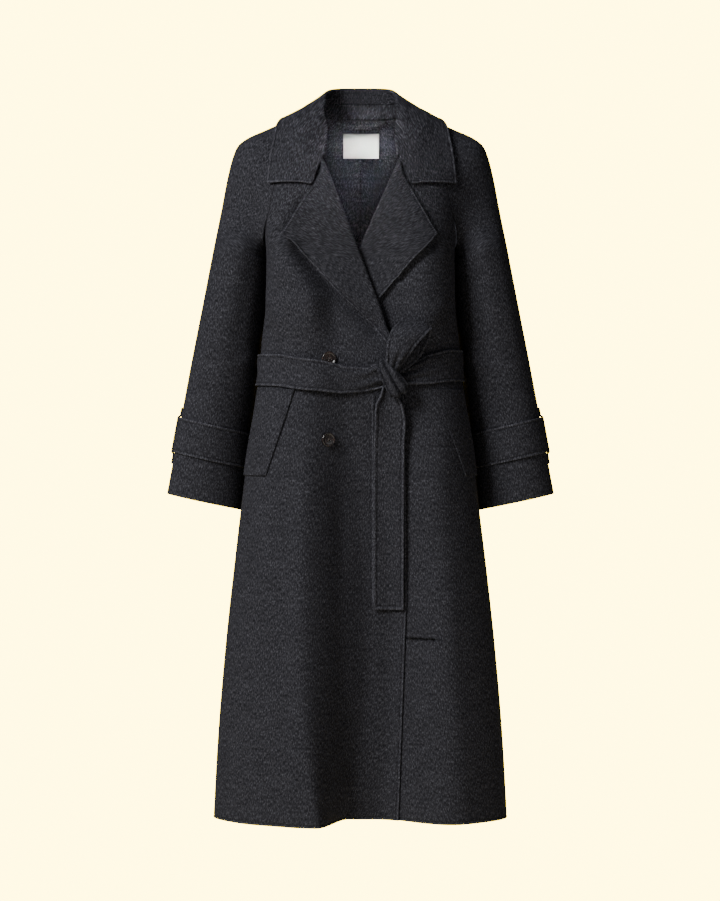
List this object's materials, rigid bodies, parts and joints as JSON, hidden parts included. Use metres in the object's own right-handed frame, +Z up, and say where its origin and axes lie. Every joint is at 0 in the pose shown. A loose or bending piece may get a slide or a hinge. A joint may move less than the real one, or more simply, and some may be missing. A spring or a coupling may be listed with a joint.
{
  "type": "trench coat",
  "caption": "Women's long belted wrap trench coat in charcoal melange wool, wide notched lapels, raglan sleeves with cuff straps, half-bow belt",
  "frame": {"origin": "Between the wearer's shoulders, in the middle of the neck at the height of the side neck points, where the wearer carries the coat.", "axes": "+Z up along the wearer's body, -Y the coat's front, +X the wearer's left."},
  "size_m": [0.6626, 0.3024, 1.2473],
  "materials": {
    "wool": "brushed double-faced wool",
    "horn": "polished dark horn look",
    "label": "woven satin label, bare"
  },
  "bodies": {
    "root": {"back_left": "wool", "back_right": "wool", "belt_band": "wool", "belt_bow_loop": "wool", "belt_knot": "wool", "belt_tail_back": "wool", "belt_tail_front": "wool", "button_lower": "horn", "button_upper": "horn", "collar_leaf": "wool", "collar_stand": "wool", "cuff_strap_left": "wool", "cuff_strap_right": "wool", "front_left": "wool", "front_right": "wool", "hanger_loop": "wool", "neck_label": "label", "pocket_welt_left": "wool", "pocket_welt_right": "wool", "sleeve_back_left": "wool", "sleeve_back_right": "wool", "sleeve_front_left": "wool", "sleeve_front_right": "wool", "strap_keeper_left": "wool", "strap_keeper_right": "wool"}
  },
  "joints": []
}
